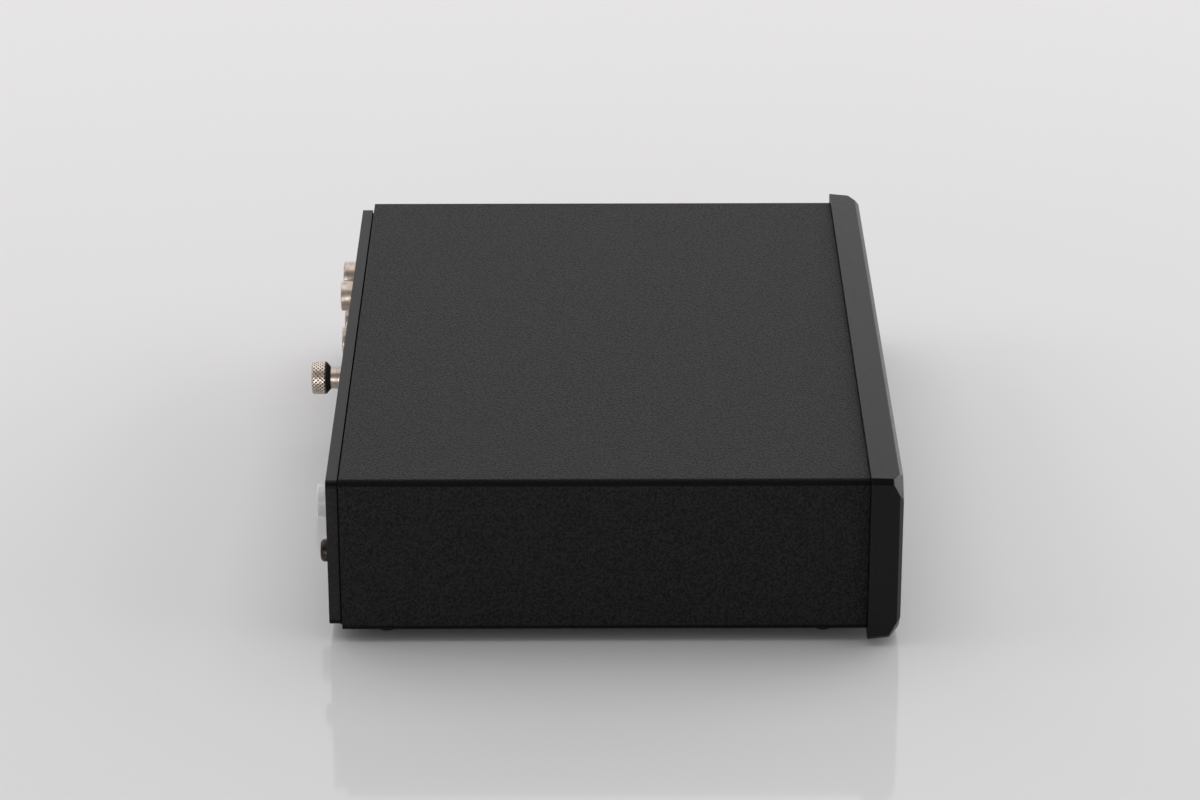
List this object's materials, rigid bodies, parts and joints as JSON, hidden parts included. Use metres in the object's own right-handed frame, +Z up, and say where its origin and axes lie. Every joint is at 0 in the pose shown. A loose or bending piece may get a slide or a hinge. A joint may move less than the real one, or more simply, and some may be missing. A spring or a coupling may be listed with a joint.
{
  "type": "phono preamplifier",
  "caption": "Slim black phono preamplifier: folded cover, thick chamfered front panel with push buttons, stacked phono jacks, knurled ground post and power socket at the rear.",
  "frame": {"origin": "middle of the whole outline at the surface that the feet stand on", "axes": "+X to the right seen from the front, along the front panel; -Y to the front; +Z up"},
  "size_m": [0.199, 0.1572, 0.0468],
  "materials": {
    "cover_coat": "fine textured matt black powder coat",
    "tray_steel": "black coated steel sheet",
    "front_coat": "smooth satin black coat",
    "rear_coat": "smooth satin black coat",
    "foot_rubber": "matt black rubber",
    "zinc_screw": "zinc plated steel",
    "black_screw": "blackened steel",
    "button_black": "satin black",
    "plunger_white": "natural nylon",
    "switch_black": "moulded",
    "clear_plastic": "clear acrylic",
    "diode_lens": "clear lens",
    "board_green": "solder resist on glass laminate",
    "pillar_nickel": "nickel plated",
    "header_black": "moulded",
    "ribbon_grey": "flat cable",
    "housing_black": "moulded",
    "shell_nickel": "nickel plated brass",
    "insulator_white": "moulded",
    "insulator_red": "moulded",
    "contact_gold": "plated spring contact",
    "post_nickel": "nickel plated brass",
    "washer_black": "moulded",
    "lug_tin": "tinned",
    "nut_zinc": "zinc plated",
    "wire_green": "insulated wire",
    "socket_black": "moulded",
    "collar_milky": "milky nylon",
    "wire_red": "insulated wire",
    "header_cream": "moulded",
    "can_blue": "shrink sleeve",
    "film_red": "dipped",
    "chip_black": "moulded",
    "heatsink_black": "black anodised",
    "relay_cream": "moulded",
    "resistor_blue": "lacquered"
  },
  "bodies": {
    "case": {"cover": "cover_coat", "base_tray": "tray_steel", "front_panel": "front_coat", "rear_panel": "rear_coat", "foot_front_left": "foot_rubber", "foot_front_right": "foot_rubber", "foot_rear_left": "foot_rubber", "foot_rear_right": "foot_rubber", "foot_screws": "zinc_screw", "cover_screws": "black_screw", "front_panel_screws": "zinc_screw", "rear_panel_screws": "black_screw", "power_switch": "switch_black", "cartridge_switch": "switch_black", "filter_switch": "switch_black", "light_pipes": "clear_plastic", "light_diodes": "diode_lens", "control_board": "board_green", "control_board_pillars": "pillar_nickel", "control_board_screws": "zinc_screw", "main_board": "board_green", "main_board_pillars": "pillar_nickel", "main_board_screws": "zinc_screw", "ribbon_headers": "header_black", "ribbon_cable": "ribbon_grey", "jack_housing": "housing_black", "jack_housing_screw": "black_screw", "input_left_shell": "shell_nickel", "input_right_shell": "shell_nickel", "output_left_shell": "shell_nickel", "output_right_shell": "shell_nickel", "left_insulators": "insulator_white", "right_insulators": "insulator_red", "jack_contacts": "contact_gold", "ground_post": "post_nickel", "ground_lug": "lug_tin", "ground_post_nut": "nut_zinc", "ground_wire": "wire_green", "socket_body": "socket_black", "socket_collar": "collar_milky", "socket_pin": "post_nickel", "socket_wires": "wire_red", "power_header": "header_cream", "reservoir_capacitors": "can_blue", "coupling_capacitors": "can_blue", "film_capacitors": "film_red", "op_amps": "chip_black", "op_amp_sockets": "header_black", "regulators": "chip_black", "heatsinks": "heatsink_black", "mute_relays": "relay_cream", "resistors": "resistor_blue"},
    "power_key": {"power_button": "button_black", "power_plunger": "plunger_white"},
    "cartridge_key": {"cartridge_button": "button_black", "cartridge_plunger": "plunger_white"},
    "filter_key": {"filter_button": "button_black", "filter_plunger": "plunger_white"},
    "post_washer": {"ground_washer": "washer_black"},
    "post_nut": {"thumb_nut": "post_nickel"}
  },
  "joints": [
    {"name": "power_press", "type": "slide", "parent": "case", "child": "power_key", "axis": [0, 1, 0], "range_m": [0, 0.0015], "stiffness_N_per_m": 700, "springref_m": -0.0015},
    {"name": "cartridge_press", "type": "slide", "parent": "case", "child": "cartridge_key", "axis": [0, 1, 0], "range_m": [0, 0.0015], "stiffness_N_per_m": 500, "springref_m": -0.0015},
    {"name": "filter_press", "type": "slide", "parent": "case", "child": "filter_key", "axis": [0, 1, 0], "range_m": [0, 0.0015], "stiffness_N_per_m": 500, "springref_m": -0.0015},
    {"name": "nut_travel", "type": "slide", "parent": "case", "child": "post_washer", "axis": [0, 1, 0], "range_m": [0, 0.0021]},
    {"name": "nut_turn", "type": "hinge", "parent": "post_washer", "child": "post_nut", "pos_m": [0.017, 0.068, 0.02397], "axis": [0, 1, 0], "range_deg": [0, 1080]}
  ],
  "couplings": [
    {"joint": "nut_turn", "follows": "nut_travel", "rad_per_m": 8975.9}
  ]
}
